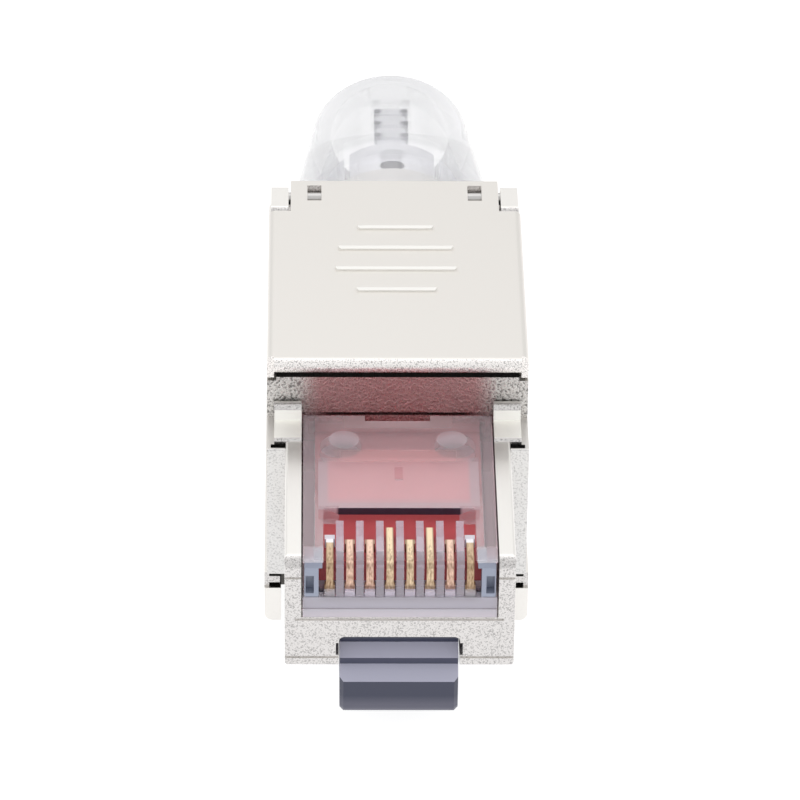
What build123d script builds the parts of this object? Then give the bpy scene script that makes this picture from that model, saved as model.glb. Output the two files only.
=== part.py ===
"""Field-fitted RJ45 modular plug: housing, hinged cover, contact set, latch and cable gland."""
import math
import os

from build123d import *

# All lengths are in millimetres.
# X runs across, Y from the nose front to the cable end, Z up from the top of the nose.

# nose of the standard eight-way plug
nose_half = 5.84
nose_bottom = -6.6
nose_wall = 0.84
nose_edge = 0.6
nose_foot_edge = 0.14
nose_side_edge = 0.25
line_depth = 0.1
line_height = 0.14
cheek_line_z = -1.02
floor_line_reach = 0.3
contact_count = 8
pitch_share = 0.17397
contact_pitch = nose_half * pitch_share

# gaps between pieces
seam = 0.02
seat_gap = 0.05
turn_gap = 0.05
side_gap = 0.08
slide_gap = 0.08
cover_gap = 0.12
chamber_gap = 0.15
pick = 0.02

# levels and faces of the body
shoulder_y = 10.02
wall_y = 13.0
body_end = 30.2
body_half = 6.8
body_top = 2.12
body_wall = 1.05
body_edge = 0.4
parting_z = -8.14
shell_lip = 0.15
shell_half = body_half + shell_lip
shell_height = 3.02
shell_bottom = parting_z - shell_height

# housing: pockets in the nose
pocket_half = nose_half - nose_wall
pocket_floor = -3.61
latch_share = 0.5195
latch_half = nose_half * latch_share
latch_play = 0.05
latch_window_half = latch_half + latch_play
latch_window_top = -4.78
latch_window_edge = 0.3
trunnion_slot = 0.2
trunnion_slot_half = latch_half + trunnion_slot
latch_pocket_y = 2.6
shoulder_top = -0.18
shoulder_edge = 0.08
ledge_groove_depth = 0.2
ledge_groove_length = 0.32
ledge_groove_inset = 0.2

# housing: stepped side blocks beside the shoulder wall
block_set = 0.38
block_outer = body_half - block_set
block_front = shoulder_y + block_set + turn_gap * 2
block_rear = wall_y - cover_gap
block_heel = -0.4
block_step = 0.14
block_top = 0.92
ramp_foot = 0.62
ramp_crest = 0.34
block_crest_y = block_rear - ramp_crest
block_ramp_y = block_rear - ramp_foot
block_edge = 0.42

# housing: wire chamber behind the shoulder wall
chamber_half = body_half - body_wall
chamber_front = wall_y + body_wall
chamber_end = body_end - body_wall
chamber_floor = -6.35
inner_half = chamber_half - chamber_gap
lever_bay_half = 4.9
lever_bay_length = 9.2
lever_bay_end = shoulder_y + lever_bay_length
lever_bay_top = -7.1
passage_low = -2.6
passage_high = -0.6

# cable axis and housing collar
axis_z = -3.5
collar_radius = 4.75
collar_bore = 4.0
collar_length = 5.3
collar_end = body_end + collar_length
collar_chamfer = 0.3

# top cover
cover_thick = 1.34
cover_low = body_top + cover_gap
cover_top = cover_low + cover_thick
cover_front = wall_y + seam
cover_edge = 0.34
bead_set = 0.1
bead_inset = 0.36
bead_half = body_half - bead_inset
bead_reach = 0.44
bead_front = cover_front - bead_reach
bead_thick = 0.8
bead_low = cover_top - bead_thick
bead_top_edge = 0.43
bead_foot_edge = 0.3
wall_lip_height = 0.22
wall_lip_length = 0.45
wall_lip_end = wall_y + wall_lip_length
undercut_end = wall_lip_end + chamber_gap

# hinge at the rear of the cover
hinge_set = 0.95
hinge_drop = 0.56
hinge_y = body_end - hinge_set
hinge_z = cover_top - hinge_drop
pin_radius = 0.34
ear_set = 0.12
ear_width = 0.94
ear_outer = body_half - ear_set
ear_inner = ear_outer - ear_width
ear_drop = 0.03
ear_top = cover_top - ear_drop
ear_rear_wall = 0.22
ear_rear = hinge_y + pin_radius + ear_rear_wall
ear_round = 0.36
pin_half = ear_outer
barrel_radius = 1.08
barrel_half = ear_inner - cover_gap

# cover: notches, rim, windows and grip ribs
notch_length = 3.05
notch_y = body_end - notch_length
ear_front = notch_y + cover_gap + seat_gap
rim_wall = 0.8
rim_front = chamber_front + chamber_gap
rim_depth = 0.66
rim_low = cover_low - rim_depth
rim_end = hinge_y - barrel_radius - cover_gap
window_width = 0.76
window_x1 = barrel_half - rim_wall - turn_gap * 2
window_x0 = window_x1 - window_width
window_length = 1.5
window_set = 0.5
window_y1 = body_end - window_set
window_y0 = window_y1 - window_length
rib_half = 3.24
rib_length_shares = (0.63, 0.95, 1.0, 0.66)
rib_rear_gap = 4.7
rib_rear_y = body_end - rib_rear_gap
rib_pitch = 2.02
rib_width = 0.42
rib_height = 0.2
rib_sink = 0.1
rib_edge = 0.12

# lower shell
wing_thick = 0.82
wing_inner = shell_half - wing_thick
wing_foot_thick = 0.87
wing_foot_inner = shell_half - wing_foot_thick
wing_step_height = 0.9
wing_step_z = parting_z - seam - wing_step_height
wing_step_set = 0.16
wing_step_y = shoulder_y + wing_step_set
wing_edge = 0.44
wing_groove_inset = 0.25
wing_groove_half = shell_half - wing_groove_inset
wing_groove_height = 0.25
wing_groove_depth = 0.3
wing_groove_end = wing_step_y + wing_groove_depth
finger_bay_length = 10.48
finger_bay_end = shoulder_y + finger_bay_length
skirt_outer = wing_inner - seat_gap
skirt_thick = 0.8
skirt_inner = skirt_outer - skirt_thick
skirt_front = shoulder_y + wing_groove_depth
skirt_end = finger_bay_end - chamber_gap
shell_wall = 1.3
shell_floor = 0.95
lug_radius = 0.75
lug_height = 1.1
lug_x = 3.6
lug_y = (finger_bay_end + body_end) / 2

# clear contact carrier
carrier_half = pocket_half - side_gap
carrier_front = 0.05
carrier_end = wall_y - cover_gap
rib_wall_share = 0.384
rib_wall = contact_pitch * rib_wall_share
head_share = 0.512
head_width = contact_pitch * head_share
window_play = 0.065
contact_window_half = contact_pitch * (contact_count - 1) / 2 + head_width / 2 + window_play
contact_window_y = 4.58
recess_floor = -2.37
thin_plate = 0.42
thin_plate_start = 5.03
thin_plate_end = 9.3
thin_mouth_share = 0.626
gate_share = 0.043
gate_half = carrier_half * gate_share
gate_y = 7.68
gate_length = 1.08
gate_depth = 0.1
rear_notch_half = 1.7
rear_notch_length = 0.5
rear_notch_y = carrier_end - rear_notch_length
rear_notch_depth = 0.4
peg_y = 10.79
rib_front = 0.15
rib_end = 3.46
rib_round = 0.5
lid = 0.16
sill_depth = 0.5
sill_back = carrier_front + sill_depth
sill_step = 0.06
sill_step_z = -3.06
rest_top = -1.98

# boards
board_thick = 1.2
board_margin = 0.62
board_half = carrier_half - board_margin
passage_half = board_half + board_margin / 2
thin_half = board_half - slide_gap * 2
peg_radius_share = 0.245
peg_radius = board_half * peg_radius_share
peg_share = 0.69
peg_x = board_half * peg_share
board_top = -1.04
board_front = 1.42
idc_board_gap = 0.3
idc_board_front = chamber_front + idc_board_gap - turn_gap
idc_board_rear = idc_board_front + board_thick
idc_board_margin = 0.4
idc_board_half = inner_half - idc_board_margin
idc_board_low = -5.9
idc_board_high = 1.3

# blue-grey front insert
insert_front = 0.12
insert_rear = 1.32
insert_slit = 0.24
insert_outer = carrier_half - side_gap
insert_inner = contact_window_half + insert_slit
insert_top = -0.22
insert_edge = 0.34
insert_bar_low = -0.56
insert_bar_inner = contact_window_half + seat_gap
bar_top = -2.95
bar_front = 0.62
bar_rear = 1.78
insert_low = -3.5
port_wall = 0.06
port_x1 = insert_outer - port_wall
port_width = 0.42
port_x0 = port_x1 - port_width
port_low = -2.12
port_high = -1.04
port_depth = 0.55

# nose contacts
contact_share = 0.364
contact_width = contact_pitch * contact_share
contact_thick = 0.3
contact_top = -0.5
contact_front = 0.36
contact_foot = -2.14
foot_height = 0.38
contact_bend = 0.34
head_length = 0.36
head_reach = 3.57
head_reach_shares = (0.82, 0.706, 0.706, 1.0, 0.706, 1.0, 0.706, 0.82)

# insulation displacement contacts
fork_thick = 0.3
fork_half = 0.75
fork_slot = 0.36
fork_neck = 1.4
fork_length = 3.8
fork_start = idc_board_rear + seat_gap
fork_slot_y = fork_start + fork_neck
fork_end = fork_start + fork_length
fork_mouth = 0.5
tail_half = 0.3
tail_length = 0.9
tail_start = idc_board_rear - tail_length
row_x = idc_board_half / (contact_count // 2)
upper_row = -0.3
lower_row = -4.5

# block behind the forks and the wire manager
inner_low = -6.1
inner_high = 1.4
block_depth = 3.0
block_start = idc_board_rear + slide_gap
block_end = block_start + block_depth
manager_gap = 0.4
manager_length = 6.0
manager_start = block_end + manager_gap
manager_end = manager_start + manager_length
manager_fork_y = fork_end + manager_gap
wire_radius = 0.72
manager_recess = 1.6
manager_recess_half = 2.5
manager_edge = 0.3

# cable screen clip
clip_gap = 0.5
clip_length = 2.0
clip_front = manager_end + clip_gap
clip_end = clip_front + clip_length
clip_thick = 0.3
clip_radius = 2.8
clip_arm_drop = 2.6
clip_base = chamber_floor + seam

# cable collet
collet_gap = 0.5
collet_front = body_end + collet_gap
collet_length = 8.5
collet_end = collet_front + collet_length
collet_radius = collar_bore - slide_gap
collet_wall = 0.82
collet_bore = collet_radius - collet_wall
finger_slot = 0.55
finger_length = 3.5
finger_start = collet_end - finger_length
pad_half = 2.36
pad_groove = 0.3
pad_hole_inset = 2.33
pad_hole_y = collet_end - pad_hole_inset
pad_hole_radius = 0.42
pad_hole_reach = 0.5
tongue_half = 0.8
tongue_length = 4.85
tongue_end = collet_end + tongue_length
tongue_drop = 0.82
tongue_thick = 0.6
tongue_high = axis_z + collet_radius - tongue_drop
tongue_low = tongue_high - tongue_thick
ridge_half = 0.95
ridge_length = 0.5
ridge_height = 0.17
ridge_gap = 1.9
ridge_first_y = collet_end + ridge_gap
ridge_pitch = 1.28
ridge_count = 3

# gland nut
nut_gap = 0.65
nut_start = body_end + nut_gap
nut_grip = 4.15
nut_taper_y = nut_start + nut_grip
nut_length = 15.55
nut_end = nut_start + nut_length
nut_bore = collar_radius + slide_gap
nut_wall = 1.14
nut_radius = nut_bore + nut_wall
nut_cone_gap = 1.1
nut_bore_end = collar_end + nut_cone_gap
nut_mouth = 2.0
nut_cone_end = nut_end - nut_mouth
nut_cable_radius = 3.4
nut_lip = 1.24
nut_end_radius = nut_cable_radius + nut_lip
nut_round = 1.1
nut_round_length = 1.8
nut_round_shares = ((0.0, 1.0), (0.14, 0.46), (0.45, 0.16), (0.92, 0.0))
nut_chamfer = 0.35

# latch
bead_y = 1.75
bead_z = -5.58
bead_radius = 0.74
trunnion_radius = 0.36
trunnion_length = 0.16
trunnion_end = latch_half + trunnion_length
lever_end = 18.0
lever_end_low = -10.55
lever_end_thick = 1.0
hook_y = 8.4
tail_width_half = 1.65
pad_start = 13.6
pad_flare = 0.6
pad_width_half = latch_half + pad_flare
latch_corner = 0.2

# latch: side view of its folded front, as shares of its depth and of its height from the top
fold_top_z = -5.87
fold_depth = 2.3
fold_height = 3.89
brow_shares = ((0.478, 0.0), (0.13, 0.121), (0.313, 0.295), (0.009, 0.46), (0.009, 0.874))
chin_shares = ((0.074, 0.958), (0.226, 1.0))
hollow_shares = ((1.0, 0.712), (0.652, 0.666), (0.53, 0.542), (0.652, 0.398), (0.913, 0.192))


def block(x0, x1, y0, y1, z0, z1):
    """A box between three pairs of planes."""
    box = Box(x1 - x0, y1 - y0, z1 - z0)
    return Pos((x0 + x1) / 2, (y0 + y1) / 2, (z0 + z1) / 2) * box


def wide(half, y0, y1, z0, z1):
    """A box centred across the plug."""
    return block(-half, half, y0, y1, z0, z1)


def both(piece):
    """A piece on the right and its mirror image on the left."""
    return piece + mirror(piece, about=Plane.YZ)


def rod_x(radius, x0, x1, y, z):
    """A round bar across the plug."""
    return Pos((x0 + x1) / 2, y, z) * Rot(0, 90, 0) * Cylinder(radius, x1 - x0)


def rod_y(radius, y0, y1, x=0, z=axis_z):
    """A round bar along the plug, on the cable axis unless placed elsewhere."""
    return Pos(x, (y0 + y1) / 2, z) * Rot(90, 0, 0) * Cylinder(radius, y1 - y0)


def rod_z(radius, x, y, z0, z1):
    """An upright round bar."""
    return Pos(x, y, (z0 + z1) / 2) * Cylinder(radius, z1 - z0)


def side_shape(outline, x0, x1):
    """A closed side view outline carried across from x0 to x1."""
    return extrude(make_face(outline), amount=x1 - x0, dir=(1, 0, 0))


def side_polygon(points, x0, x1):
    """A side view polygon, given as Y and Z pairs, carried across from x0 to x1."""
    return side_shape(Polyline([(x0, y, z) for y, z in points], close=True), x0, x1)


def at(value, place):
    """True when a place is not asked for, or when the value lies on it."""
    return place is None or abs(value - place) < pick


def rounded(part, radius, axis, x=None, y=None, z=None):
    """Round the straight edges along an axis at the given places, x counted on both sides."""
    chosen = [
        edge for edge in part.edges().filter_by(axis)
        if at(abs(edge.center().X), x) and at(edge.center().Y, y) and at(edge.center().Z, z)
    ]
    return fillet(chosen, radius)


def fork_places():
    """X and Z of the eight fork contacts, four in each row."""
    columns = [(i - 1.5) * 2 * row_x for i in range(contact_count // 2)]
    return [(x, z) for z in (upper_row, lower_row) for x in columns]


def nose_bar():
    """The nose as a bar whose edges are rounded by three crossing bars."""
    bar = wide(nose_half, 0, wall_y, nose_bottom, 0)
    across = rounded(bar, nose_edge, Axis.X, y=0, z=0)
    across = rounded(across, nose_foot_edge, Axis.X, y=0, z=nose_bottom)
    along = rounded(bar, nose_side_edge, Axis.Y, x=nose_half, z=nose_bottom)
    along = rounded(along, nose_foot_edge, Axis.Y, x=nose_half, z=0)
    upright = rounded(bar, nose_foot_edge, Axis.Z, x=nose_half, y=0)
    return across & along & upright


def housing_block():
    """Nose, shoulders and body before anything is hollowed."""
    nose = nose_bar()
    lines = (
        (nose_half, cheek_line_z),
        (pocket_half + floor_line_reach, pocket_floor),
        (nose_half, bead_z - trunnion_radius - turn_gap),
    )
    for half, line_top in lines:
        nose -= wide(half, 0, line_depth, line_top - line_height, line_top)
    body = wide(body_half, wall_y, body_end, parting_z, body_top)
    body = rounded(body, body_edge, Axis.Z, x=body_half, y=body_end)
    shoulders = wide(body_half, shoulder_y, wall_y, parting_z, shoulder_top)
    shoulders = rounded(shoulders, shoulder_edge, Axis.X, y=shoulder_y, z=shoulder_top)
    groove_y = block_front - ledge_groove_length
    groove_z = shoulder_top - ledge_groove_depth
    groove_outer = body_half - ledge_groove_inset
    shoulders -= both(block(nose_half, groove_outer, groove_y, block_front, groove_z, shoulder_top))
    return nose + body + shoulders


def side_block():
    """The stepped block on the right shoulder, with its ramp up to the wall."""
    points = [
        (block_front, block_heel),
        (block_front, 0),
        (block_front + block_step, block_step),
        (block_ramp_y, block_step),
        (block_crest_y, block_top),
        (block_rear, block_top),
        (block_rear, block_heel),
    ]
    step = side_polygon(points, pocket_half, block_outer)
    return rounded(step, block_edge, Axis.X, y=block_crest_y, z=block_top)


def hinge_ear():
    """The ear on the right rear corner of the body, rounded at both top corners."""
    ear = block(ear_inner, ear_outer, ear_front, ear_rear, rim_low, ear_top)
    return rounded(ear, ear_round, Axis.X, z=ear_top)


def housing():
    """Die-cast housing: nose, shoulders, wire chamber, hinge ears and collar."""
    solid = housing_block() + both(side_block())
    solid -= wide(pocket_half, 0, wall_y, pocket_floor, block_top)
    window = wide(latch_window_half, 0, latch_pocket_y, nose_bottom, latch_window_top)
    solid -= rounded(window, latch_window_edge, Axis.Y, x=latch_window_half, z=latch_window_top)
    slot = trunnion_radius + turn_gap
    solid -= wide(trunnion_slot_half, 0, bead_y, bead_z - slot, bead_z + slot)
    solid -= rod_x(slot, -trunnion_slot_half, trunnion_slot_half, bead_y, bead_z)
    solid -= wide(chamber_half, chamber_front, chamber_end, chamber_floor, body_top)
    solid -= wide(passage_half, wall_y, chamber_front, passage_low, passage_high)
    solid -= wide(lever_bay_half, shoulder_y, lever_bay_end, parting_z, lever_bay_top)
    solid -= rod_x(barrel_radius + cover_gap, -ear_inner, ear_inner, hinge_y, hinge_z)
    solid += both(hinge_ear())
    solid += wide(bead_half - cover_gap, wall_y, wall_lip_end, body_top, body_top + wall_lip_height)
    solid += both(block(skirt_inner, skirt_outer, skirt_front, skirt_end, wing_step_z, parting_z))
    solid -= rod_x(pin_radius + seam, -pin_half - seam, pin_half + seam, hinge_y, hinge_z)
    collar = chamfer(rod_y(collar_radius, body_end, collar_end).edges().sort_by(Axis.Y)[-1], collar_chamfer)
    solid += collar
    solid -= rod_y(collar_bore, chamber_end, collar_end)
    for x in (-lug_x, lug_x):
        solid -= rod_z(lug_radius + seam, x, lug_y, parting_z, parting_z + lug_height + seat_gap)
    return solid


def lower_shell():
    """Lower shell: two guard wings beside the latch lever and a closed foot behind them."""
    top = parting_z - seam
    shell = wide(shell_half, shoulder_y, body_end, shell_bottom, top)
    shell = rounded(shell, wing_edge, Axis.Y, x=shell_half, z=shell_bottom)
    shell -= wide(wing_inner, shoulder_y, finger_bay_end, wing_step_z, top)
    shell -= wide(wing_foot_inner, shoulder_y, finger_bay_end, shell_bottom, wing_step_z)
    shell -= wide(shell_half, shoulder_y, wing_step_y, wing_step_z, top)
    for groove_top in (top, wing_step_z + wing_groove_height):
        groove_low = groove_top - wing_groove_height
        shell -= wide(wing_groove_half, wing_step_y, wing_groove_end, groove_low, groove_top)
    shell -= wide(
        shell_half - shell_wall,
        finger_bay_end + shell_wall,
        body_end - shell_wall,
        shell_bottom + shell_floor,
        top,
    )
    for x in (-lug_x, lug_x):
        shell += rod_z(lug_radius, x, lug_y, shell_bottom + shell_floor, parting_z + lug_height)
    return shell


def cover_plate():
    """Flat part of the cover with its rounded front bead, cut back at both rear corners."""
    low = cover_low
    plate = wide(body_half, cover_front + bead_set, body_end, low, cover_top)
    plate = rounded(plate, cover_edge, Axis.Y, x=body_half, z=cover_top)
    bead = wide(bead_half, bead_front, undercut_end, bead_low, cover_top)
    bead = rounded(bead, bead_top_edge, Axis.X, y=bead_front, z=cover_top)
    bead = rounded(bead, bead_foot_edge, Axis.X, y=bead_front, z=bead_low)
    plate -= wide(bead_half, cover_front, undercut_end, low, cover_top)
    plate += bead
    plate -= both(block(barrel_half, body_half, notch_y, body_end, low, cover_top))
    return plate - wide(barrel_half, hinge_y - barrel_radius, body_end, low, cover_top)


def top_cover():
    """Hinged cover with its rear barrel, inner rim, grip ribs and two small windows."""
    plate = cover_plate()
    tube = rod_x(barrel_radius, -barrel_half, barrel_half, hinge_y, hinge_z)
    saddle = wide(barrel_half, hinge_y - barrel_radius, hinge_y, cover_low, cover_top)
    keep = wide(barrel_half, hinge_y - barrel_radius, body_end, hinge_z - barrel_radius, cover_top)
    plate += (tube & keep) + saddle
    rim = wide(inner_half, rim_front, rim_end, rim_low, cover_low)
    rim -= wide(inner_half - rim_wall, rim_front + rim_wall, rim_end - rim_wall, rim_low, cover_low)
    plate += rim
    plate -= rod_x(pin_radius + turn_gap, -barrel_half, barrel_half, hinge_y, hinge_z)
    plate -= both(block(window_x0, window_x1, window_y0, window_y1, hinge_z - pin_radius, cover_top))
    for index, share in enumerate(rib_length_shares):
        y = rib_rear_y - index * rib_pitch
        plate += grip_rib(rib_half * share, y)
    return plate


def grip_rib(half, y):
    """One raised grip rib across the cover, rounded at its ends."""
    low = cover_top - rib_sink
    high = cover_top + rib_height
    bar = wide(half, y - rib_width / 2, y + rib_width / 2, low, high)
    bar = chamfer(bar.edges().filter_by(Axis.X).group_by(Axis.Z)[-1], rib_edge)
    return rounded(bar, rib_width / 2 - seam, Axis.Z, x=half)


def hinge_pin():
    """Straight steel pin through both ears and the cover barrel."""
    return rod_x(pin_radius, -pin_half, pin_half, hinge_y, hinge_z)


def contact_x(index):
    """X of one of the eight nose contacts, counted from the left."""
    return (index - (contact_count - 1) / 2) * contact_pitch


def carrier_rib(x):
    """One rib between two contacts, rounded at its upper front edge."""
    step = board_top + seat_gap
    points = [(rib_front, recess_floor), (board_front, recess_floor), (board_front, step), (rib_end, step)]
    points += [(rib_end, 0), (rib_front, 0)]
    rib = side_polygon(points, x - rib_wall / 2, x + rib_wall / 2)
    return rounded(rib, rib_round, Axis.X, y=rib_front, z=0)


def contact_carrier():
    """Clear carrier that holds the contact board and stands its ribs between the contacts."""
    low = pocket_floor + seat_gap
    solid = wide(carrier_half, carrier_front, carrier_end, low, 0)
    solid -= wide(contact_window_half, carrier_front, contact_window_y, board_top, 0)
    solid -= wide(contact_window_half, carrier_front, board_front - seat_gap, recess_floor, 0)
    board_low = board_top - board_thick - seam
    solid -= wide(board_half + seat_gap, board_front - seat_gap, carrier_end, board_low, board_top + seam)
    solid -= wide(thin_half, thin_plate_start, thin_plate_end, board_top, -thin_plate)
    mouth_half = carrier_half * thin_mouth_share
    solid -= wide(mouth_half, contact_window_y, thin_plate_start, board_top, -thin_plate)
    solid -= wide(gate_half, gate_y - gate_length / 2, gate_y + gate_length / 2, -gate_depth, 0)
    solid -= wide(rear_notch_half, rear_notch_y, carrier_end, -rear_notch_depth, 0)
    rear = insert_rear + side_gap
    solid -= both(block(contact_window_half, carrier_half, sill_back, rear, low, -lid))
    solid -= both(block(contact_window_half, carrier_half, carrier_front, sill_back, recess_floor, -lid))
    solid -= wide(carrier_half, carrier_front, carrier_front + sill_step, sill_step_z, recess_floor)
    solid -= wide(carrier_half, bar_front - seat_gap, bar_rear + seat_gap, low, bar_top + seat_gap)
    solid += both(rod_z(peg_radius, peg_x, peg_y, board_low, board_top + seam))
    for index in range(contact_count - 1):
        solid += carrier_rib((index - (contact_count - 2) / 2) * contact_pitch)
    rest_front = carrier_front + sill_step
    for index in range(contact_count):
        x = contact_x(index)
        half = head_width / 2
        solid += block(x - half, x + half, rest_front, contact_front - seat_gap, recess_floor, rest_top)
    return solid


def front_insert():
    """Blue-grey frame: two uprights beside the contacts, joined under the board."""
    foot = recess_floor + seat_gap
    upright = block(insert_inner, insert_outer, insert_front, insert_rear, foot, insert_top)
    upright += block(insert_inner, insert_outer, bar_front, insert_rear, insert_low, insert_top)
    upright += block(insert_bar_inner, insert_inner, insert_front, insert_rear, insert_bar_low, insert_top)
    upright -= block(port_x0, port_x1, insert_front, insert_front + port_depth, port_low, port_high)
    edge = upright.edges().filter_by(Axis.X).filter_by(lambda e: at(e.center().Y, insert_front))
    upright = chamfer([e for e in edge if at(e.center().Z, insert_top)], insert_edge)
    return both(upright) + wide(insert_outer, bar_front, bar_rear, insert_low, bar_top)


def contact_board():
    """Printed board lying in the nose under the contacts."""
    board = wide(board_half, board_front, idc_board_front - seam, board_top - board_thick, board_top)
    for x in (-peg_x, peg_x):
        board -= rod_z(peg_radius + seat_gap, x, peg_y, board_top - board_thick, board_top)
    return board


def idc_board():
    """Upright printed board that carries the fork contacts."""
    rear = idc_board_rear
    board = wide(idc_board_half, idc_board_front, rear, idc_board_low, idc_board_high)
    for x, z in fork_places():
        half = tail_half + seam
        slot = fork_thick / 2 + seam
        board -= block(x - slot, x + slot, tail_start - seam, rear, z - half, z + half)
    return board


def nose_contact(index):
    """One nose contact, bent down at the front, with a head on the board and a wider foot."""
    x = contact_x(index)
    end = head_reach * head_reach_shares[index]
    half = contact_width / 2
    wide_half = head_width / 2
    head_half = half if end == head_reach else wide_half
    under = contact_top - contact_thick
    foot_back = contact_front + contact_thick
    blade = block(x - half, x + half, contact_front, end, under, contact_top)
    blade += block(x - half, x + half, contact_front, foot_back, contact_foot, contact_top)
    blade = rounded(blade, contact_bend, Axis.X, y=contact_front, z=contact_top)
    head = block(x - head_half, x + head_half, end - head_length, end, board_top, contact_top)
    foot_top = contact_foot + foot_height
    foot = block(x - wide_half, x + wide_half, contact_front, foot_back, contact_foot, foot_top)
    return blade + head + foot


def fork_contact(index):
    """One insulation displacement fork, standing out of the upright board."""
    x, z = fork_places()[index]
    slot = fork_slot / 2
    right = [
        (tail_start, z), (tail_start, z + tail_half),
        (fork_start, z + tail_half), (fork_start, z + fork_half),
        (fork_end, z + fork_half), (fork_end, z + fork_mouth), (fork_end - fork_mouth, z + slot),
        (fork_slot_y, z + slot), (fork_slot_y, z),
    ]
    left = [(y, 2 * z - value) for y, value in reversed(right[1:-1])]
    return side_polygon(right + left, x - fork_thick / 2, x + fork_thick / 2)


def idc_carrier():
    """Insulating block that backs the fork contacts."""
    solid = wide(inner_half, block_start, block_end, inner_low, inner_high)
    solid = rounded(solid, manager_edge, Axis.Y, x=inner_half, z=inner_low)
    for x, z in fork_places():
        slot = fork_thick / 2 + seat_gap
        half = fork_half + seat_gap
        solid -= block(x - slot, x + slot, block_start, block_end, z - half, z + half)
    return solid


def wire_manager():
    """Wire manager: eight channels that open up or down, each behind one fork."""
    solid = wide(inner_half, manager_start, manager_end, inner_low, inner_high)
    solid = rounded(solid, manager_edge, Axis.Y, x=inner_half, z=inner_low)
    for x, z in fork_places():
        slot = fork_thick / 2 + side_gap
        half = fork_half + side_gap
        solid -= block(x - slot, x + slot, manager_start, manager_fork_y, z - half, z + half)
        solid -= rod_y(wire_radius, manager_start, manager_end, x, z)
        side = (z, inner_high) if z == upper_row else (inner_low, z)
        solid -= block(x - wire_radius, x + wire_radius, manager_start, manager_end, *side)
    solid -= rod_y(manager_recess_half, manager_end - manager_recess, manager_end)
    return solid


def shield_clip():
    """Sheet clip that holds the cable screen against the chamber floor."""
    ring = rod_y(clip_radius, clip_front, clip_end) - rod_y(clip_radius - clip_thick, clip_front, clip_end)
    ring &= wide(clip_radius, clip_front, clip_end, axis_z - clip_radius, axis_z)
    arm = block(clip_radius - clip_thick, clip_radius, clip_front, clip_end, axis_z, axis_z + clip_arm_drop)
    base = wide(inner_half, clip_front, clip_end, clip_base, clip_base + clip_thick)
    return ring + both(arm) + base


def cable_collet():
    """Slotted collet with a flat-sided pad on top and a ridged tongue."""
    solid = rod_y(collet_radius, collet_front, collet_end) - rod_y(collet_bore, collet_front, collet_end)
    for angle in (90, 135, 225, 270, 180):
        cut = Pos(0, 0, axis_z) * Rot(0, angle, 0) * block(
            -finger_slot / 2, finger_slot / 2, finger_start, collet_end, collet_bore / 2, collet_radius * 2
        )
        solid -= cut
    solid -= both(block(pad_half, pad_half + pad_groove, finger_start, collet_end, axis_z, collet_radius))
    solid -= pad_hole()
    solid += wide(tongue_half, collet_end - finger_slot, tongue_end, tongue_low, tongue_high)
    for index in range(ridge_count):
        y = ridge_first_y + index * ridge_pitch
        half = ridge_length / 2
        solid += wide(ridge_half, y - half, y + half, tongue_low, tongue_high + ridge_height)
    return solid


def pad_hole():
    """The oval hole through the collet pad."""
    reach = pad_hole_reach / 2
    hole = wide(reach, pad_hole_y - pad_hole_radius, pad_hole_y + pad_hole_radius, axis_z, collet_radius)
    return hole + both(rod_z(pad_hole_radius, reach, pad_hole_y, axis_z, collet_radius))


def gland_nut():
    """Translucent tapered nut that runs on the collar and closes on the collet."""
    points = [
        (nut_bore, nut_start), (nut_radius - nut_chamfer, nut_start), (nut_radius, nut_start + nut_chamfer),
        (nut_radius, nut_taper_y),
    ]
    for inward, back in nut_round_shares:
        points.append((nut_end_radius - inward * nut_round, nut_end - back * nut_round_length))
    points += [(nut_cable_radius, nut_end), (nut_cable_radius, nut_cone_end), (nut_bore, nut_bore_end)]
    outline = make_face(Polyline([(r, y, 0) for r, y in points], close=True))
    return Pos(0, 0, axis_z) * revolve(outline, axis=Axis.Y)


def fold_points(shares, x):
    """Points of the latch's fold from shares of its depth and height."""
    return [(x, fold_depth * depth, fold_top_z - fold_height * height) for depth, height in shares]


def latch_outline(x):
    """Side view of the latch: root, crease, folded front and lever."""
    brow = fold_points(brow_shares, x)
    corner, foot = fold_points(chin_shares, x)
    below = (x, lever_end, lever_end_low)
    above = (x, lever_end, lever_end_low + lever_end_thick)
    bead_back = (x, bead_y + bead_radius / 2, bead_z)
    bead_front = (x, bead_y, bead_z + bead_radius / 2)
    points = [foot, below, above, *fold_points(hollow_shares, x), bead_back, bead_front, *brow]
    return Polyline(*points) + ThreePointArc(brow[-1], corner, foot)


def latch():
    """One-piece latch: bead in the nose, front roll, shouldered lever and thumb pad."""
    solid = side_shape(latch_outline(-pad_width_half), -pad_width_half, pad_width_half)
    solid -= both(block(latch_half, pad_width_half, 0, pad_start, shell_bottom, 0))
    solid -= both(block(tail_width_half, pad_width_half, hook_y, pad_start, shell_bottom, 0))
    solid = rounded(solid, lever_end_thick, Axis.Z, x=pad_width_half, y=lever_end)
    curves = solid.edges().filter_by(GeomType.CIRCLE)
    curves = curves.filter_by(lambda e: at(abs(e.center().X), latch_half) and e.center().Y < bead_y)
    solid = chamfer(curves, latch_corner)
    solid += rod_x(bead_radius, -latch_half, latch_half, bead_y, bead_z)
    solid += rod_x(trunnion_radius, -trunnion_end, trunnion_end, bead_y, bead_z)
    return solid


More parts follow.
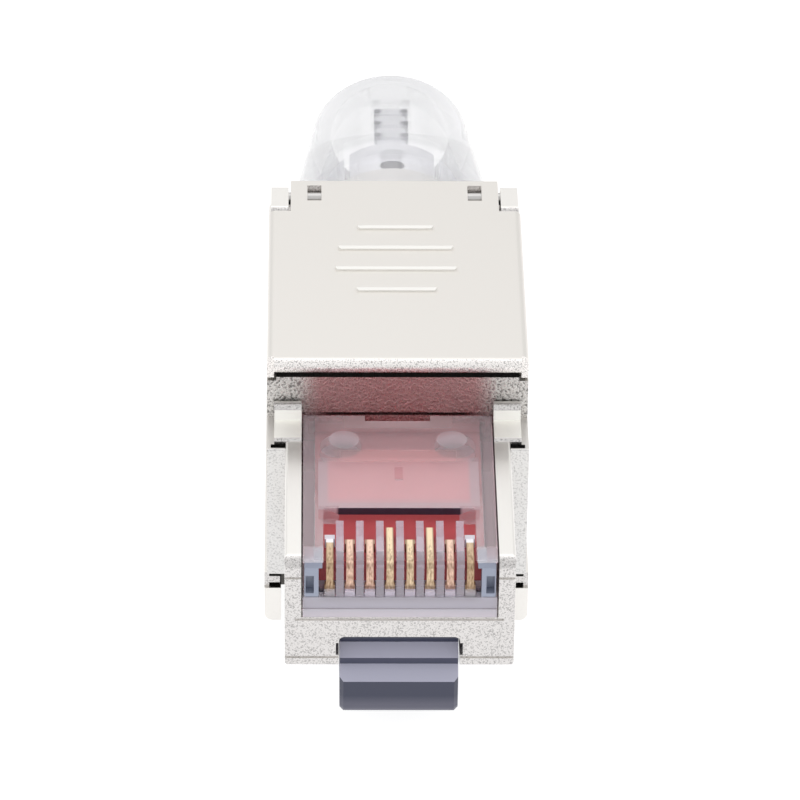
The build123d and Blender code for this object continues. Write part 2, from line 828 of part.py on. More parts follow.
def pieces():
    """Every piece of the plug by its node name."""
    made = {
        "housing": housing(),
        "lower_shell": lower_shell(),
        "top_cover": top_cover(),
        "hinge_pin": hinge_pin(),
        "contact_carrier": contact_carrier(),
        "front_insert": front_insert(),
        "latch": latch(),
        "contact_board": contact_board(),
        "idc_board": idc_board(),
        "idc_carrier": idc_carrier(),
        "wire_manager": wire_manager(),
        "shield_clip": shield_clip(),
        "cable_collet": cable_collet(),
        "gland_nut": gland_nut(),
    }
    for index in range(contact_count):
        made[f"contact_{index + 1}"] = nose_contact(index)
        made[f"idc_{index + 1}"] = fork_contact(index)
    return made


def main():
    """Write every piece with the origin under the middle of the plug, on its resting plane."""
    os.makedirs("parts", exist_ok=True)
    place = Pos(0, -nut_end / 2, -shell_bottom)
    for name, piece in pieces().items():
        export_step(place * piece, f"parts/{name}.step")


main()
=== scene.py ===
import bpy
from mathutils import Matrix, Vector

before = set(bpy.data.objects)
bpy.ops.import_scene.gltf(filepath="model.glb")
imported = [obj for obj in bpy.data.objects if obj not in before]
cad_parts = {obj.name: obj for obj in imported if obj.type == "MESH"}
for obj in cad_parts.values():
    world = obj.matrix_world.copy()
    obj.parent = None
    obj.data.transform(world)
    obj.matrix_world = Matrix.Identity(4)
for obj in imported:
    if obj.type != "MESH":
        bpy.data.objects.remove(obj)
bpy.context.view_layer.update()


# Housing and lower shell: two die castings of zinc, one above and one below the parting line,
# nickel plated to a satin finish. Faces that look forward keep the mould's fine grain on a darker
# base, a painted shade; the shoulders' fronts and the chamber wall are painted darker too, and the
# wall carries a painted rosy reflection of the red board and a painted black shadow line under the
# cover's bead. The side blocks' flat tops are smoother and painted paler, a painted highlight, and
# the narrow seams and grooves are painted near black, a painted shade.
straight = 0.9
leaning = 0.3
flat_gap = 0.00002
wall_y = -0.0102
shoulder_y = -0.01318
shoulder_gap = 0.0002
grip_rib_low = 0.01473
block_top = 0.0113
block_lean = 0.338
lean_gap = 0.02
block_y = (-0.0127, -0.0103)
lip_top = 0.0135
shell_strip_z = (0.0021, 0.003)
wing_top = 0.00301
wing_rib_y = -0.0128
wing_groove_x = 0.00671
wing_groove_y = (-0.01301, -0.0127)
low_groove_z = (0.00209, 0.00236)
high_groove_z = (0.00274, wing_top)
ledge_groove_x = 0.00585
ledge_groove_y = (-0.0131, -0.01269)
ledge_groove_z = (0.01077, 0.01097)


def remap(nodes, start=0.0, end=1.0, low=0.0, high=1.0):
    """A node that turns the range from start to end into the range from low to high."""
    node = nodes.new("ShaderNodeMapRange")
    node.inputs["From Min"].default_value = start
    node.inputs["From Max"].default_value = end
    node.inputs["To Min"].default_value = low
    node.inputs["To Max"].default_value = high
    return node


def cast_grain():
    """Node group: a fine sparkling grain for plated castings, strong or weak by its inputs."""
    group = bpy.data.node_groups.new("Cast grain", "ShaderNodeTree")
    for name in ("Scale", "Height", "Strength"):
        group.interface.new_socket(name, in_out="INPUT", socket_type="NodeSocketFloat")
    group.interface.new_socket("Normal", in_out="OUTPUT", socket_type="NodeSocketVector")
    group.interface.new_socket("Speckle", in_out="OUTPUT", socket_type="NodeSocketFloat")
    group.interface.new_socket("Fleck", in_out="OUTPUT", socket_type="NodeSocketFloat")
    entry = group.nodes.new("NodeGroupInput")
    leave = group.nodes.new("NodeGroupOutput")
    place = group.nodes.new("ShaderNodeTexCoord")
    noise = group.nodes.new("ShaderNodeTexNoise")
    noise.inputs["Detail"].default_value = 3.0
    noise.inputs["Roughness"].default_value = 0.6
    bump = group.nodes.new("ShaderNodeBump")
    fleck = remap(group.nodes, start=0.36, end=0.50, low=1.0, high=0.0)
    group.links.new(place.outputs["Object"], noise.inputs["Vector"])
    group.links.new(entry.outputs["Scale"], noise.inputs["Scale"])
    group.links.new(noise.outputs["Fac"], bump.inputs["Height"])
    group.links.new(entry.outputs["Height"], bump.inputs["Distance"])
    group.links.new(entry.outputs["Strength"], bump.inputs["Strength"])
    group.links.new(bump.outputs["Normal"], leave.inputs["Normal"])
    group.links.new(noise.outputs["Fac"], leave.inputs["Speckle"])
    group.links.new(noise.outputs["Fac"], fleck.inputs["Value"])
    group.links.new(fleck.outputs["Result"], leave.inputs["Fleck"])
    return group


def grain_of(scale, height, strength):
    """The three inputs of the grain: its fineness, its depth in metres and its strength."""
    return {"Scale": scale, "Height": height, "Strength": strength}


def plated_zinc(name, colour, roughness, grain, fleck=0.0):
    """Satin nickel over cast zinc; fleck is how dark the flecks of a coarse casting are."""
    material = bpy.data.materials.new(name)
    material.use_nodes = True
    nodes, links = material.node_tree.nodes, material.node_tree.links
    shader = nodes["Principled BSDF"]
    shader.inputs["Metallic"].default_value = 1.0
    tone = nodes.new("ShaderNodeMix")
    tone.data_type = "RGBA"
    tone.inputs["A"].default_value = (*colour, 1)
    tone.inputs["B"].default_value = (*(part * (1 - fleck) for part in colour), 1)
    pattern = nodes.new("ShaderNodeGroup")
    pattern.node_tree = grain_group
    for socket, value in grain.items():
        pattern.inputs[socket].default_value = value
    spread = remap(nodes, low=roughness - 0.06, high=roughness + 0.08)
    links.new(pattern.outputs["Fleck"], tone.inputs["Factor"])
    links.new(tone.outputs["Result"], shader.inputs["Base Color"])
    links.new(pattern.outputs["Speckle"], spread.inputs["Value"])
    links.new(spread.outputs["Result"], shader.inputs["Roughness"])
    links.new(pattern.outputs["Normal"], shader.inputs["Normal"])
    return material


def calculate(group, operation, first, second):
    """Puts a Math node on a socket and on a second socket or a number, and gives its result."""
    step = group.nodes.new("ShaderNodeMath")
    step.operation = operation
    group.links.new(first, step.inputs[0])
    if isinstance(second, float):
        step.inputs[1].default_value = second
    else:
        group.links.new(second, step.inputs[1])
    return step.outputs["Value"]


def soft_patch():
    """Node group: masks for a round or a square patch and its mirror images."""
    group = bpy.data.node_groups.new("Soft patch", "ShaderNodeTree")
    for name in ("Centre", "Reach"):
        group.interface.new_socket(name, in_out="INPUT", socket_type="NodeSocketVector")
    group.interface.new_socket("Inner", in_out="INPUT", socket_type="NodeSocketFloat")
    for name in ("Round", "Square"):
        group.interface.new_socket(name, in_out="OUTPUT", socket_type="NodeSocketFloat")
    entry = group.nodes.new("NodeGroupInput")
    leave = group.nodes.new("NodeGroupOutput")
    place = group.nodes.new("ShaderNodeTexCoord")
    offset = place.outputs["Object"]
    steps = (("ABSOLUTE", None), ("SUBTRACT", "Centre"), ("DIVIDE", "Reach"), ("ABSOLUTE", None))
    for operation, name in steps:
        step = group.nodes.new("ShaderNodeVectorMath")
        step.operation = operation
        group.links.new(offset, step.inputs[0])
        if name:
            group.links.new(entry.outputs[name], step.inputs[1])
        offset = step.outputs["Vector"]
    length = group.nodes.new("ShaderNodeVectorMath")
    length.operation = "LENGTH"
    parts = group.nodes.new("ShaderNodeSeparateXYZ")
    group.links.new(offset, length.inputs[0])
    group.links.new(offset, parts.inputs["Vector"])
    larger = parts.outputs["X"]
    for name in "YZ":
        larger = calculate(group, "MAXIMUM", larger, parts.outputs[name])
    for distance, name in ((length.outputs["Value"], "Round"), (larger, "Square")):
        mask = remap(group.nodes, low=1.0, high=0.0)
        group.links.new(distance, mask.inputs["Value"])
        group.links.new(entry.outputs["Inner"], mask.inputs["From Min"])
        group.links.new(mask.outputs["Result"], leave.inputs[name])
    return group


def tint(material, shape, colour, centre, reach, inner, alpha=None):
    """Turns a material to another colour over one patch; inner is the share without fading."""
    nodes, links = material.node_tree.nodes, material.node_tree.links
    shader = nodes["Principled BSDF"]
    patch = nodes.new("ShaderNodeGroup")
    patch.node_tree = patch_group
    patch.inputs["Centre"].default_value = [abs(part) for part in centre]
    patch.inputs["Reach"].default_value = reach
    patch.inputs["Inner"].default_value = inner
    tone = nodes.new("ShaderNodeMix")
    tone.data_type = "RGBA"
    base = shader.inputs["Base Color"]
    tone.inputs["A"].default_value = base.default_value
    for link in list(base.links):
        links.new(link.from_socket, tone.inputs["A"])
    tone.inputs["B"].default_value = (*colour, 1)
    links.new(patch.outputs[shape], tone.inputs["Factor"])
    links.new(tone.outputs["Result"], base)
    if alpha is not None:
        clearness = shader.inputs["Alpha"]
        spread = remap(nodes, low=clearness.default_value, high=alpha)
        for link in list(clearness.links):
            links.new(link.from_socket, spread.inputs["To Min"])
        links.new(patch.outputs[shape], spread.inputs["Value"])
        links.new(spread.outputs["Result"], clearness)


def dress(node, material, slot, *finishes):
    """Gives a piece its material; the slot argument is not used; each finish is a material and its
    faces.
    """
    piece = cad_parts[node]
    piece.data.materials.clear()
    piece.data.materials.append(material)
    for number, (finish, chosen) in enumerate(finishes, 1):
        piece.data.materials.append(finish)
        for face in piece.data.polygons:
            if chosen(face):
                face.material_index = number
    return piece


def inside(value, span):
    """Whether a value lies between the two ends of a span."""
    return span[0] < value < span[1]


def looks_forward(face):
    """Front faces, but not the shoulders or the grip ribs: grainy from the mould, with a darker base as
    painted shade on the housing and a paler one as painted highlight on the cover's bead.
    """
    shoulder = abs(face.center.y - shoulder_y) < shoulder_gap
    return face.normal.y < -leaning and not shoulder and face.center.z < grip_rib_low


def on_wall(face):
    """The wall of the wire chamber, behind the carrier."""
    return face.normal.y < -straight and abs(face.center.y - wall_y) < flat_gap


def on_shoulder(face):
    """The front faces of the shoulders, beside the nose."""
    return face.normal.y < -leaning and abs(face.center.y - shoulder_y) < shoulder_gap


def on_side_block(face):
    """The flat and the ramp of the stepped blocks, which are smoother and get a paler colour, a painted
    highlight.
    """
    ramp = face.normal.y < -straight and abs(face.normal.z - block_lean) < lean_gap
    flat = face.normal.z > straight and abs(face.center.z - block_top) < flat_gap
    return (ramp or flat) and inside(face.center.y, block_y)


def under_seam(face):
    """The strip of the lower shell just under its seam, which looks forward."""
    return face.normal.y < -leaning and inside(face.center.z, shell_strip_z)


def in_housing_seam(face):
    """Faces in the housing's seams: under the cover's bead, at the wings and before the blocks; they get
    painted shade.
    """
    x, y, z = abs(face.center.x), face.center.y, face.center.z
    wall_lip = face.normal.z > straight and abs(z - lip_top) < flat_gap
    rib_front = face.normal.y < -straight and z < wing_top and y < wing_rib_y
    groove = x > ledge_groove_x and inside(y, ledge_groove_y) and inside(z, ledge_groove_z)
    return wall_lip or rib_front or groove


def in_shell_seam(face):
    """Faces inside the two grooves across each wing's front, painted near black as shade."""
    across = inside(face.center.y, wing_groove_y) and abs(face.center.x) < wing_groove_x
    return across and (inside(face.center.z, low_groove_z) or inside(face.center.z, high_groove_z))


grain_group = cast_grain()
patch_group = soft_patch()
fine_grain = grain_of(9000, 0.00001, 0.3)
soft_grain = grain_of(10000, 0.00002, 0.5)
sharp_grain = grain_of(12000, 0.00003, 0.7)
seam_grain = grain_of(12000, 0.00004, 0.8)
wall_grain = grain_of(8000, 0.00008, 1.0)
housing_metal = plated_zinc("Housing nickel", (0.84, 0.82, 0.79), 0.30, fine_grain)
# Side block tops and ramps: a paler base, a painted highlight.
block_painted_highlight_metal = plated_zinc("Block nickel painted highlight", (1.0, 0.99, 0.95), 0.55, fine_grain)
# Front faces: the mould's grain, on a darker base that is painted shade.
grain_and_painted_shade_metal = plated_zinc("Grainy nickel with painted shade", (0.68, 0.66, 0.65), 0.22, sharp_grain, fleck=0.45)
# Shoulder fronts: a darker base, painted shade.
shoulder_painted_shade_metal = plated_zinc("Shoulder nickel painted shade", (0.73, 0.72, 0.71), 0.30, soft_grain, fleck=0.3)
# Chamber wall: a darker base, painted shade.
wall_shade_and_reflection_metal = plated_zinc("Wall nickel with painted shade and reflection", (0.70, 0.68, 0.66), 0.26, wall_grain, fleck=0.72)
# Seams, grooves and the rib fronts by the wings: near black, painted shade.
seam_painted_shade_metal = plated_zinc("Seam nickel painted shade", (0.10, 0.095, 0.09), 0.40, seam_grain, fleck=0.7)
# A painted rosy reflection of the red board in the wall's middle.
painted_board_reflection = (0.52, 0.31, 0.31)
board_reflection_middle = (0, wall_y, 0.0115)
board_reflection_reach = (0.0052, 0.01, 0.01)
# A painted black shadow line along the wall's top, under the cover's bead.
painted_shadow_line = (0.04, 0.02, 0.02)
shadow_line_middle = (0, wall_y, 0.01121)
shadow_line_reach = (0.0049, 0.01, 0.0001)
tint(wall_shade_and_reflection_metal, "Square", painted_board_reflection, board_reflection_middle, board_reflection_reach, inner=0.78)
tint(wall_shade_and_reflection_metal, "Square", painted_shadow_line, shadow_line_middle, shadow_line_reach, inner=0.7)
dress(
    "housing",
    housing_metal,
    "cast_nickel",
    (grain_and_painted_shade_metal, looks_forward),
    (shoulder_painted_shade_metal, on_shoulder),
    (wall_shade_and_reflection_metal, on_wall),
    (block_painted_highlight_metal, on_side_block),
    (seam_painted_shade_metal, in_housing_seam),
)
dress(
    "lower_shell",
    housing_metal,
    "cast_nickel",
    (grain_and_painted_shade_metal, under_seam),
    (seam_painted_shade_metal, in_shell_seam),
)


# Top cover: a die casting in the same zinc and nickel, hung on the pin, with a smooth, creamy top
# face. Its front bead is grainy and painted paler, and the fronts of its grip ribs are painted pale,
# both painted highlights; the undercut behind the bead is painted darker, a painted shade.
undercut_x = 0.00643
undercut_y = (-0.0104, -0.0095)
undercut_z = (0.01339, 0.01396)


def under_bead(face):
    """Faces in the undercut behind and below the cover's front bead, painted darker as shade."""
    across = inside(face.center.y, undercut_y) and abs(face.center.x) < undercut_x
    return across and inside(face.center.z, undercut_z)


def on_rib_front(face):
    """The front sides of the raised grip ribs."""
    return face.normal.y < -leaning and face.center.z > grip_rib_low


smooth_grain = grain_of(14000, 0.00001, 0.15)
cover_metal = plated_zinc("Cover nickel", (0.77, 0.745, 0.71), 0.36, smooth_grain)
# Grip rib fronts: a pale base, a painted highlight.
rib_painted_highlight_metal = plated_zinc("Rib nickel painted highlight", (1.0, 0.99, 0.96), 0.6, smooth_grain)
# Front bead: grainy, on a paler base that is a painted highlight.
bead_painted_highlight_metal = plated_zinc("Bead nickel painted highlight", (0.96, 0.93, 0.91), 0.25, sharp_grain, fleck=0.5)
# Undercut: a dark base, painted shade.
undercut_painted_shade_metal = plated_zinc("Undercut nickel painted shade", (0.30, 0.29, 0.28), 0.40, seam_grain, fleck=0.5)
dress(
    "top_cover",
    cover_metal,
    "cast_nickel",
    (bead_painted_highlight_metal, looks_forward),
    (undercut_painted_shade_metal, under_bead),
    (rib_painted_highlight_metal, on_rib_front),
)


# Hinge pin: straight ground steel wire, pushed through both ears of the housing and through the
# cover between them, so that it shows in the cover's two small windows.
def plain_finish(name, colour, roughness, metallic=0.0):
    """An even finish without a pattern: plastic, or metal where metallic is 1."""
    material = bpy.data.materials.new(name)
    material.use_nodes = True
    shader = material.node_tree.nodes["Principled BSDF"]
    shader.inputs["Base Color"].default_value = (*colour, 1)
    shader.inputs["Metallic"].default_value = metallic
    shader.inputs["Roughness"].default_value = roughness
    return material


pin_steel = plain_finish("Pin steel", (0.55, 0.54, 0.53), 0.25, metallic=1.0)
dress("hinge_pin", pin_steel, "pin_steel")


# Contact carrier: one injection moulding of clear polycarbonate, slid into the nose over the red
# board. It is milky where the mould left it matt and over its pegs. Its thin plate, a strip between
# the pegs and the matt faces under them are painted pink, painted light from the red board; the
# margins by its sides are painted paler, painted light; and the plate's edge over the contacts is
# painted near black, a painted shade.
plate_top = 0.01116
plate_under = 0.01074
gate_floor = 0.01106
mouth_y = -0.01862
mouth_low = 0.0108
peg_x = 0.0028
peg_y = -0.0125
peg_rear_y = -0.0137
peg_span_x = (0.0018, 0.0041)
peg_span_z = (0.0088, 0.0102)
upright = 0.1
side_x = 0.0049
bottom_z = 0.00761
sill_y = -0.0229
sill_top = 0.0089
low_sill_y = -0.02312
low_sill_top = 0.0081
ribs_y = -0.01973
ribs_x = 0.0034
ribs_low = 0.0088


def clear(name, colour, roughness, transmission, alpha, ior=1.5):
    """Clear plastic, milky in part, that also lets some light straight through."""
    material = plain_finish(name, colour, roughness)
    shader = material.node_tree.nodes["Principled BSDF"]
    shader.inputs["IOR"].default_value = ior
    shader.inputs["Transmission Weight"].default_value = transmission
    shader.inputs["Alpha"].default_value = alpha
    return material


def matt_moulding(face):
    """Pegs, outer sides and bottom, left matt by the mould."""
    x, y, z = abs(face.center.x), face.center.y, face.center.z
    beside = inside(x, peg_span_x) and inside(z, peg_span_z) and y > peg_rear_y
    peg = beside and abs(face.normal.z) < upright
    side = x > side_x and abs(face.normal.x) > straight
    bottom = z < bottom_z and abs(face.normal.z) > straight
    return peg or side or bottom


def on_sill(face):
    """The carrier's low front faces under the contacts."""
    return face.normal.y < -straight and face.center.y < sill_y and face.center.z < sill_top


def on_low_sill(face):
    """The carrier's lowest front strip, which is paler."""
    low = face.center.y < low_sill_y and face.center.z < low_sill_top
    return face.normal.y < -straight and low


def between_contacts(face):
    """The ribs that stand between the contacts."""
    return face.center.y < ribs_y and abs(face.center.x) < ribs_x and face.center.z > ribs_low


def thin_underside(face):
    """The underside of the thin plate, close over the red board, painted pink as light from the board.
    """
    return face.normal.z < -straight and abs(face.center.z - plate_under) < flat_gap


def mouth_edge(face):
    """The thin plate's edge at the contact window, painted near black, a painted shade seen from in
    front.
    """
    edge = abs(face.center.y - mouth_y) < flat_gap and face.center.z > mouth_low
    return face.normal.y < -straight and edge


clear_plastic = clear(
    "Clear polycarbonate", (0.90, 0.86, 0.91), roughness=0.06, transmission=0.65, alpha=0.5
)
matt_plastic = clear(
    "Matt polycarbonate", (1.0, 0.84, 0.89), roughness=0.5, transmission=0.0, alpha=1.0
)
rib_plastic = clear(
    "Rib polycarbonate", (0.88, 0.82, 0.94), roughness=0.06, transmission=0.65, alpha=0.8, ior=1.58
)
thin_painted_light_plastic = clear(
    "Thin polycarbonate painted light", (0.64, 0.46, 0.51), roughness=0.3, transmission=0.2, alpha=0.8
)
sill_plastic = clear(
    "Sill polycarbonate", (0.60, 0.57, 0.64), roughness=0.4, transmission=0.3, alpha=0.8
)
low_sill_plastic = clear(
    "Low sill polycarbonate", (0.78, 0.75, 0.82), roughness=0.4, transmission=0.3, alpha=0.8
)
edge_painted_shade_plastic = clear(
    "Edge polycarbonate painted shade", (0.64, 0.46, 0.51), roughness=0.3, transmission=0.2, alpha=0.8
)
peg_grey = (0.94, 0.88, 0.94)
peg_middle = (peg_x, peg_y, plate_top)
peg_reach = (0.00088, 0.00088, 0.0002)
# The margins by the sides: paler and less clear, painted light where little light reaches them.
margin_painted_light = (0.84, 0.71, 0.75)
margin_light_middle = (0.00466, -0.0166, plate_top)
margin_light_reach = (0.0003, 0.0066, 0.0002)
gate_pink = (0.76, 0.58, 0.62)
gate_middle = (0, -0.01552, gate_floor)
gate_reach = (0.00027, 0.0006, 0.00008)
# A pink strip between the pegs: painted light from the red board, which also paints out the pegs' shade.
painted_strip_light = (1.0, 0.74, 0.76)
strip_middle = (0, -0.01398, plate_top)
strip_reach = (0.004, 0.00062, 0.0002)
wall_strip_grey = (1.0, 0.91, 0.94)
wall_strip_middle = (0, -0.0109, plate_top)
wall_strip_reach = (0.0046, 0.0009, 0.0002)
# Under the pegs: painted pink light from the red board.
under_peg_painted_light = (1.0, 0.62, 0.66)
under_peg_light_middle = (peg_x, -0.0115, 0.0076)
under_peg_light_reach = (0.0016, 0.003, 0.0005)
# Pink under the thin plate: painted light from the red board beneath.
painted_board_light = (1.0, 0.50, 0.53)
board_light_middle = (0, -0.01554, plate_under)
board_light_reach = (0.00373, 0.00206, 0.001)
# The plate's edge over the contacts: painted near black, a painted shade.
edge_painted_shade = (0.02, 0.015, 0.03)
edge_shade_middle = (0, mouth_y, 0.0109)
edge_shade_reach = (0.00325, 0.01, 0.01)
tint(clear_plastic, "Round", peg_grey, peg_middle, peg_reach, inner=0.85, alpha=0.9)
tint(clear_plastic, "Square", margin_painted_light, margin_light_middle, margin_light_reach, inner=0.9, alpha=0.78)
tint(clear_plastic, "Square", gate_pink, gate_middle, gate_reach, inner=0.75, alpha=0.55)
tint(clear_plastic, "Square", painted_strip_light, strip_middle, strip_reach, inner=0.7, alpha=0.9)
tint(clear_plastic, "Square", wall_strip_grey, wall_strip_middle, wall_strip_reach, inner=0.6, alpha=0.8)
tint(matt_plastic, "Square", under_peg_painted_light, under_peg_light_middle, under_peg_light_reach, inner=0.9)
tint(thin_painted_light_plastic, "Square", painted_board_light, board_light_middle, board_light_reach, inner=0.95, alpha=0.68)
tint(edge_painted_shade_plastic, "Square", edge_painted_shade, edge_shade_middle, edge_shade_reach, inner=0.95, alpha=1.0)
carrier = dress(
    "contact_carrier",
    clear_plastic,
    "clear_plastic",
    (matt_plastic, matt_moulding),
    (sill_plastic, on_sill),
    (low_sill_plastic, on_low_sill),
    (rib_plastic, between_contacts),
    (thin_painted_light_plastic, thin_underside),
    (edge_painted_shade_plastic, mouth_edge),
)
carrier.visible_shadow = False


# Front insert: a moulded frame of blue-grey plastic, fitted into the carrier's front. Its two
# uprights show beside the outer contacts, and a bar joins them under the red board.
blue_grey = plain_finish("Blue-grey plastic", (0.30, 0.33, 0.42), 0.3)
dress("front_insert", blue_grey, "blue_grey_plastic")


# Latch: one moulding of darker blue-grey plastic, sprung at its root bead in the nose. The strips
# of its fold that look up are matt and painted much paler, painted light, while the rest is painted
# very dark, partly the plastic's own tone and partly painted shade; its foot is a little lighter.
fold_y = -0.0214
fold_low = 0.0034


def matt_fold(face):
    """The strips of the latch's fold that look up towards the contacts, painted paler as light."""
    return face.normal.z > leaning and face.center.y < fold_y and face.center.z > fold_low


# A very dark base, partly painted shade; the up-facing strips get a paler copy, painted light.
latch_painted_shade_plastic = plain_finish("Latch plastic painted shade", (0.038, 0.042, 0.075), 0.28)
latch_matt_painted_light = plain_finish("Matt latch plastic painted light", (0.44, 0.44, 0.55), 0.45)
foot_grey = (0.10, 0.10, 0.14)
foot_middle = (0, -0.0232, 0.0019)
foot_reach = (0.01, 0.01, 0.0007)
tint(latch_painted_shade_plastic, "Square", foot_grey, foot_middle, foot_reach, inner=0.2)
dress("latch", latch_painted_shade_plastic, "blue_grey_plastic", (latch_matt_painted_light, matt_fold))


# Boards: glass fibre under a red solder mask. One lies in the nose under the carrier and takes its
# pegs, the other stands behind the shoulder wall and carries the forks.
red_mask = plain_finish("Red solder mask", (0.58, 0.085, 0.095), 0.35)
dress("contact_board", red_mask, "red_board")
dress("idc_board", red_mask, "red_board")


# Nose contacts: eight strips of phosphor bronze, stamped, bent down at the front and gold plated.
# Their heads sit on the red board, between the carrier's ribs. They are streaked and grow darker
# towards the front, their edges are painted darker, a painted shade, and the outer two are duller,
# with a bright head.
contact_count = 8
contact_pitch = 0.001016
rose_contacts = (2, 3, 7)
outer_contacts = (1, contact_count)
outer_x = contact_pitch * (contact_count - 1) / 2
blade_front_y = -0.0229
blade_rear_y = -0.0205
head_y = -0.02065
streak_stretch = (12000, 3500, 3500)


def streaks():
    """Node group: fine streaks that grow towards the front, and a painted shade along each contact's
    edges.
    """
    group = bpy.data.node_groups.new("Stamped streaks and painted edge shade", "ShaderNodeTree")
    group.interface.new_socket("Mask", in_out="OUTPUT", socket_type="NodeSocketFloat")
    leave = group.nodes.new("NodeGroupOutput")
    place = group.nodes.new("ShaderNodeTexCoord")
    part = group.nodes.new("ShaderNodeSeparateXYZ")
    stretch = group.nodes.new("ShaderNodeMapping")
    stretch.inputs["Scale"].default_value = streak_stretch
    noise = group.nodes.new("ShaderNodeTexNoise")
    noise.inputs["Scale"].default_value = 1.0
    noise.inputs["Detail"].default_value = 3.0
    front = remap(group.nodes, start=blade_front_y, end=blade_rear_y, low=0.30, high=-0.12)
    worn = remap(group.nodes, start=0.46, end=1.0)
    # Painted shade along each contact's edges.
    edge = remap(group.nodes, start=0.40, end=0.32, high=0.8)
    group.links.new(place.outputs["Object"], part.inputs["Vector"])
    group.links.new(place.outputs["Object"], stretch.inputs["Vector"])
    group.links.new(stretch.outputs["Vector"], noise.inputs["Vector"])
    group.links.new(part.outputs["Y"], front.inputs["Value"])
    total = calculate(group, "ADD", noise.outputs["Fac"], front.outputs["Result"])
    group.links.new(total, worn.inputs["Value"])
    pitches = calculate(group, "DIVIDE", part.outputs["X"], contact_pitch)
    group.links.new(calculate(group, "PINGPONG", pitches, 0.5), edge.inputs["Value"])
    darker = calculate(group, "MAXIMUM", worn.outputs["Result"], edge.outputs["Result"])
    group.links.new(darker, leave.inputs["Mask"])
    return group


def gold_worn_and_edge_shaded(name, light, dark):
    """Gold plate between a light and a dark tone: streaks, darker towards the front, and painted edge
    shade.
    """
    material = plain_finish(name, light, roughness=0.3, metallic=1.0)
    nodes, links = material.node_tree.nodes, material.node_tree.links
    mask = nodes.new("ShaderNodeGroup")
    mask.node_tree = streak_and_edge_shade_group
    tone = nodes.new("ShaderNodeMix")
    tone.data_type = "RGBA"
    tone.inputs["A"].default_value = (*light, 1)
    tone.inputs["B"].default_value = (*dark, 1)
    links.new(mask.outputs["Mask"], tone.inputs["Factor"])
    links.new(tone.outputs["Result"], nodes["Principled BSDF"].inputs["Base Color"])
    return material


def on_head(face):
    """The head of an outer contact, behind its blade."""
    return face.center.y > head_y


streak_and_edge_shade_group = streaks()
yellow_gold = gold_worn_and_edge_shaded("Yellow gold", (0.95, 0.77, 0.53), (0.26, 0.16, 0.10))
rose_gold = gold_worn_and_edge_shaded("Rose gold", (0.95, 0.68, 0.54), (0.30, 0.17, 0.12))
outer_gold = gold_worn_and_edge_shaded("Outer gold", (0.72, 0.55, 0.37), (0.20, 0.11, 0.06))
bright_head = plain_finish("Bright contact head", (0.86, 0.84, 0.90), 0.35)
head_white = (0.95, 0.93, 0.98)
head_middle = (outer_x, -0.0205, 0.0095)
head_reach = (0.0006, 0.00048, 0.004)
tint(outer_gold, "Square", head_white, head_middle, head_reach, inner=0.8)
for number in range(1, contact_count + 1):
    if number in outer_contacts:
        dress(f"contact_{number}", outer_gold, "gold_plate", (bright_head, on_head))
    else:
        gold = rose_gold if number in rose_contacts else yellow_gold
        dress(f"contact_{number}", gold, "gold_plate")


# Fork contacts: eight forks stamped from tinned bronze sheet and set in the upright board. Their
# slots cut into the wires' insulation.
tinned = plain_finish("Tinned bronze", (0.72, 0.71, 0.68), 0.3, metallic=1.0)
for number in range(1, contact_count + 1):
    dress(f"idc_{number}", tinned, "tinned_bronze")


# Fork block and wire manager: two mouldings of white insulating plastic. The block stands round
# the forks, and the manager's channels lead the wires to them.
white_plastic = plain_finish("White plastic", (0.80, 0.80, 0.77), 0.5)
dress("idc_carrier", white_plastic, "white_plastic")
dress("wire_manager", white_plastic, "white_plastic")


# Screen clip: stainless spring sheet, bent round under the cable and up both its sides, on a flat
# foot across the wire chamber. It holds the cable's screen.
spring_sheet = plain_finish("Spring sheet", (0.66, 0.65, 0.64), 0.3, metallic=1.0)
dress("shield_clip", spring_sheet, "screen_steel")


# Cable collet: one moulding of pale grey polyamide with fingers, a pad and a ridged tongue, held
# inside the nut. The ends of its three ridges and the pad's oval hole are painted near black, a
# painted shade in these hollows.
ridge_count = 3
first_ridge_y = 0.0179
ridge_pitch = 0.00128
ridge_end_x = 0.0008
ridge_end_z = 0.0109
pad_hole_x = 0.0007
pad_hole_y = (0.01315, 0.01425)


def in_pad_hole(face):
    """The wall of the oval hole through the pad, painted dark as shade."""
    hole = abs(face.center.x) < pad_hole_x and inside(face.center.y, pad_hole_y)
    return hole and abs(face.normal.z) < leaning


collet_plastic = plain_finish("Collet plastic", (0.97, 0.97, 1.0), 0.45)
# Near black in the pad's hole and at the ridge ends: painted shade.
hole_painted_shade = plain_finish("Collet hole painted shade", (0.10, 0.10, 0.12), 0.5)
painted_hollow_shade = (0.02, 0.02, 0.03)
ridge_reach = (0.0004, 0.0004, 0.0006)
pad_hole_middle = (0, 0.01367, 0.0116)
pad_hole_reach = (0.0008, 0.0005, 0.001)
for ridge in range(ridge_count):
    ridge_end = (ridge_end_x, first_ridge_y + ridge * ridge_pitch, ridge_end_z)
    tint(collet_plastic, "Round", painted_hollow_shade, ridge_end, ridge_reach, inner=0.4)
tint(collet_plastic, "Round", painted_hollow_shade, pad_hole_middle, pad_hole_reach, inner=0.6)
dress("cable_collet", collet_plastic, "collet_plastic", (hole_painted_shade, in_pad_hole))


# Gland nut: one moulding of translucent polyamide, screwed on the housing's collar. Its lower half
# is painted greyer, a painted shade, and it is painted paler and clearer in front of the collet's pad
# and of its tongue, painted light.
translucent = clear(
    "Translucent polyamide",
    (0.59, 0.59, 0.61),
    roughness=0.06,
    transmission=0.5,
    alpha=0.47,
    ior=1.15,
)
# Greyer lower half: painted shade.
low_painted_shade = (0.36, 0.36, 0.375)
low_shade_middle = (0, 0.015, 0.0035)
low_shade_reach = (0.02, 0.02, 0.0045)
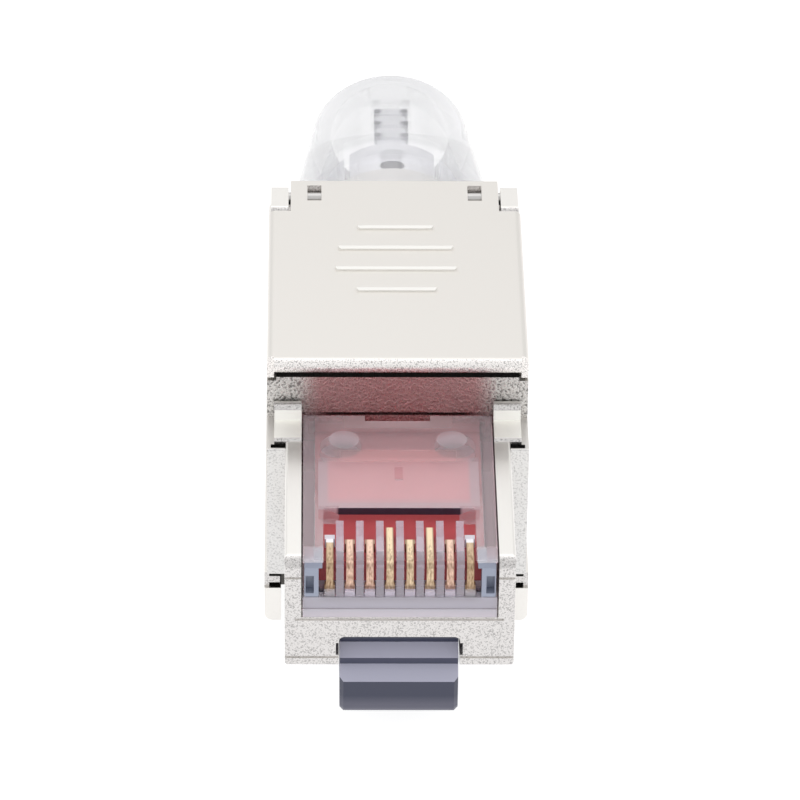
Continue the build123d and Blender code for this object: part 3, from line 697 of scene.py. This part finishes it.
# Paler, clearer patches in front of the pad and the tongue: painted light.
pad_painted_light = (0.85, 0.85, 0.88)
pad_light_middle = (0, 0.0108, 0.0145)
pad_light_reach = (0.0034, 0.0028, 0.003)
tongue_painted_light = (0.76, 0.76, 0.78)
tongue_light_middle = (0, 0.0163, 0.014)
tongue_light_reach = (0.0019, 0.0025, 0.003)
tint(translucent, "Square", low_painted_shade, low_shade_middle, low_shade_reach, inner=0.4, alpha=0.56)
tint(translucent, "Square", pad_painted_light, pad_light_middle, pad_light_reach, inner=0.75, alpha=0.33)
tint(translucent, "Square", tongue_painted_light, tongue_light_middle, tongue_light_reach, inner=0.5, alpha=0.38)
nut = dress("gland_nut", translucent, "frosted_plastic")
nut.visible_shadow = False


# Floor and light: a plain white lit table, a pale sky and one broad soft light above. A dark card
# low in front, which only reflections see, stands for the darker part of a room.
floor_reach = 0.6
room_half = 0.4
room_y = -0.55
room_z = (0.002, 0.05)
softbox_side = 0.3
softbox_place = Vector((-0.06, 0.12, 0.32))
lit_place = Vector((0, 0, 0.01))


def plain_card(name, corners, colour, glow):
    """A flat four-cornered sheet that belongs to the studio."""
    mesh = bpy.data.meshes.new(name)
    mesh.from_pydata(corners, [], [(0, 1, 2, 3)])
    card = bpy.data.objects.new(name, mesh)
    bpy.context.scene.collection.objects.link(card)
    paint = plain_finish(name, colour, roughness=0.9)
    shader = paint.node_tree.nodes["Principled BSDF"]
    shader.inputs["Specular IOR Level"].default_value = 0.0
    shader.inputs["Emission Color"].default_value = (1, 1, 1, 1)
    shader.inputs["Emission Strength"].default_value = glow
    mesh.materials.append(paint)
    return card


turns = ((-1, -1), (1, -1), (1, 1), (-1, 1))
floor_corners = [(x * floor_reach, y * floor_reach, 0) for x, y in turns]
room_corners = [(x * room_half, room_y, room_z[y > 0]) for x, y in turns]
plain_card("floor", floor_corners, (0.3, 0.3, 0.3), glow=0.9)
room = plain_card("dark_room", room_corners, (0.02, 0.02, 0.02), glow=0.0)
room.visible_camera = False
room.visible_diffuse = False
room.visible_shadow = False
room.visible_transmission = False

world = bpy.data.worlds.new("Pale sky")
bpy.context.scene.world = world
world.use_nodes = True
world.node_tree.nodes["Background"].inputs["Color"].default_value = (1, 1, 1, 1)
world.node_tree.nodes["Background"].inputs["Strength"].default_value = 0.95

softbox_data = bpy.data.lights.new("softbox", "AREA")
softbox_data.shape = "RECTANGLE"
softbox_data.size = softbox_side
softbox_data.size_y = softbox_side
softbox_data.energy = 0.15
softbox = bpy.data.objects.new("softbox", softbox_data)
softbox.location = softbox_place
softbox.rotation_euler = (lit_place - softbox_place).to_track_quat("-Z", "Y").to_euler()
bpy.context.scene.collection.objects.link(softbox)
bpy.context.scene.view_settings.view_transform = "Standard"


# Camera at the photograph's angle, found by fitting the plug's known sizes to the picture.
camera_data = bpy.data.cameras.new("camera")
camera_data.sensor_width = 36
camera_data.lens = 253.41
camera_data.clip_start = 0.01
camera = bpy.data.objects.new("camera", camera_data)
camera.location = (-0.004688, -0.252422, 0.177984)
camera.rotation_euler = (0.970280, -0.010689, -0.012555)
bpy.context.scene.collection.objects.link(camera)
bpy.context.scene.camera = camera
